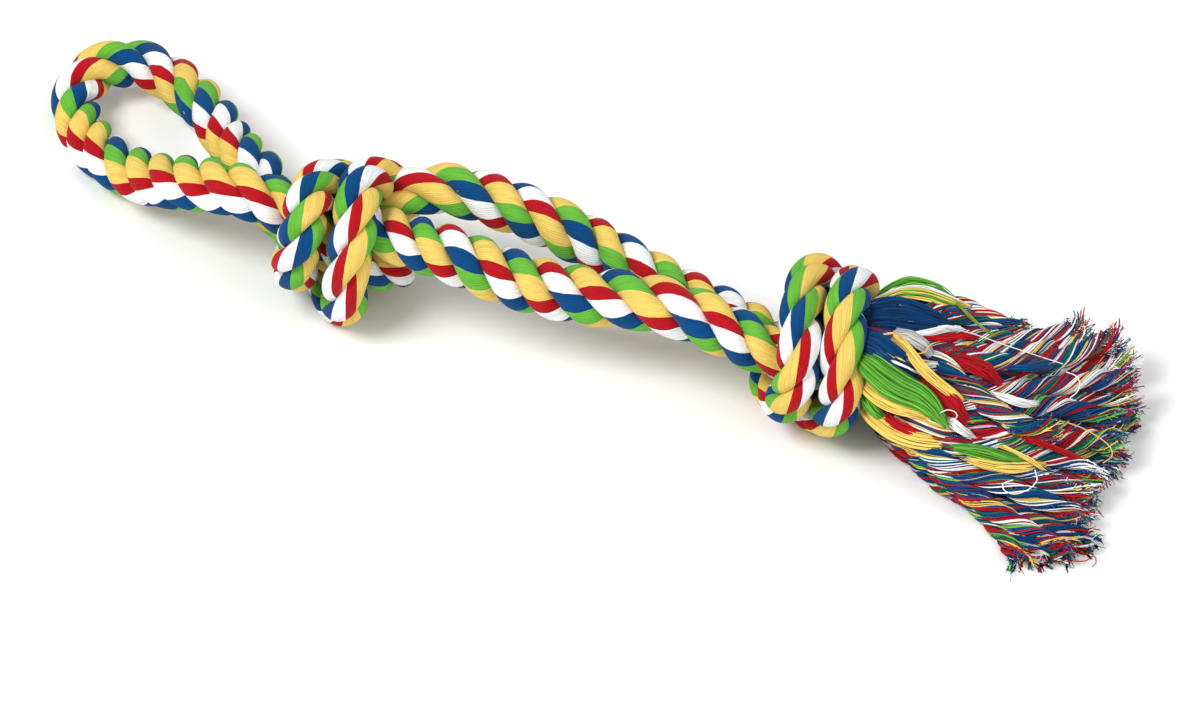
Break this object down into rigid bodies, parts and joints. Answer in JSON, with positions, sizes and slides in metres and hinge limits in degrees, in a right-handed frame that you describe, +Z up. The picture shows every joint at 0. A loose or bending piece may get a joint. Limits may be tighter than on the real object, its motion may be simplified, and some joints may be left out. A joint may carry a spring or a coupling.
{
  "type": "rope dog toy",
  "caption": "Laid cotton rope folded in half, with a hand loop at the fold, doubled overhand knots along the pair of legs and both ends unlaid into a frayed tassel.",
  "frame": {"origin": "middle of the plan box at the surface that the toy lies on", "axes": "+X along the toy from the hand loop to the tassel, +Y to the far side as pictured, +Z up"},
  "size_m": [0.5146, 0.134, 0.0735],
  "materials": {
    "laid_rope": "matt cotton yarn in bands of yellow, red, blue, green and white",
    "unlaid_yarn": "matt loose cotton yarn of mixed colours"
  },
  "bodies": {
    "handle_knot": {"handle_knot_outer_turn": "laid_rope", "handle_knot_inner_turn": "laid_rope"},
    "handle_loop": {"handle_loop": "laid_rope"},
    "legs_handle_half": {"front_leg_handle_half": "laid_rope", "back_leg_handle_half": "laid_rope"},
    "legs_tassel_half": {"front_leg_tassel_half": "laid_rope", "back_leg_tassel_half": "laid_rope"},
    "tassel_knot": {"tassel_knot_outer_turn": "laid_rope", "tassel_knot_inner_turn": "laid_rope"},
    "tassel": {"front_rope_end": "unlaid_yarn", "front_tassel_lock_1": "unlaid_yarn", "front_tassel_lock_2": "unlaid_yarn", "front_tassel_lock_3": "unlaid_yarn", "front_tassel_lock_4": "unlaid_yarn", "front_tassel_lock_5": "unlaid_yarn", "front_tassel_lock_6": "unlaid_yarn", "front_tassel_lock_7": "unlaid_yarn", "front_tassel_lock_8": "unlaid_yarn", "front_tassel_lock_9": "unlaid_yarn", "front_tassel_lock_10": "unlaid_yarn", "back_rope_end": "unlaid_yarn", "back_tassel_lock_1": "unlaid_yarn", "back_tassel_lock_2": "unlaid_yarn", "back_tassel_lock_3": "unlaid_yarn", "back_tassel_lock_4": "unlaid_yarn", "back_tassel_lock_5": "unlaid_yarn", "back_tassel_lock_6": "unlaid_yarn", "back_tassel_lock_7": "unlaid_yarn", "back_tassel_lock_8": "unlaid_yarn", "back_tassel_lock_9": "unlaid_yarn", "back_tassel_lock_10": "unlaid_yarn"}
  },
  "joints": [
    {"name": "loop_bend", "type": "hinge", "parent": "handle_knot", "child": "handle_loop", "pos_m": [-0.13639, -0.02965, 0.04434], "axis": [0.0453, 0.8696, -0.4916], "range_deg": [-25, 25], "stiffness_Nm_per_rad": 1.2},
    {"name": "handle_neck_bend", "type": "hinge", "parent": "handle_knot", "child": "legs_handle_half", "pos_m": [-0.03995, -0.01946, 0.05336], "axis": [-0.053, 0.9731, 0.2243], "range_deg": [-25, 25], "stiffness_Nm_per_rad": 1.5},
    {"name": "leg_middle_bend", "type": "hinge", "parent": "legs_handle_half", "child": "legs_tassel_half", "pos_m": [0.02283, -0.01357, 0.04225], "axis": [-0.137, 0.9772, -0.1623], "range_deg": [-25, 25], "stiffness_Nm_per_rad": 1.2},
    {"name": "tassel_neck_bend", "type": "hinge", "parent": "legs_tassel_half", "child": "tassel_knot", "pos_m": [0.08646, -0.01059, 0.03813], "axis": [-0.1654, 0.8057, -0.5688], "range_deg": [-25, 25], "stiffness_Nm_per_rad": 1.5},
    {"name": "tassel_bend", "type": "hinge", "parent": "tassel_knot", "child": "tassel", "pos_m": [0.16946, 0.01397, 0.04461], "axis": [-0.1444, 0.8186, -0.5559], "range_deg": [-30, 30], "stiffness_Nm_per_rad": 0.5}
  ]
}
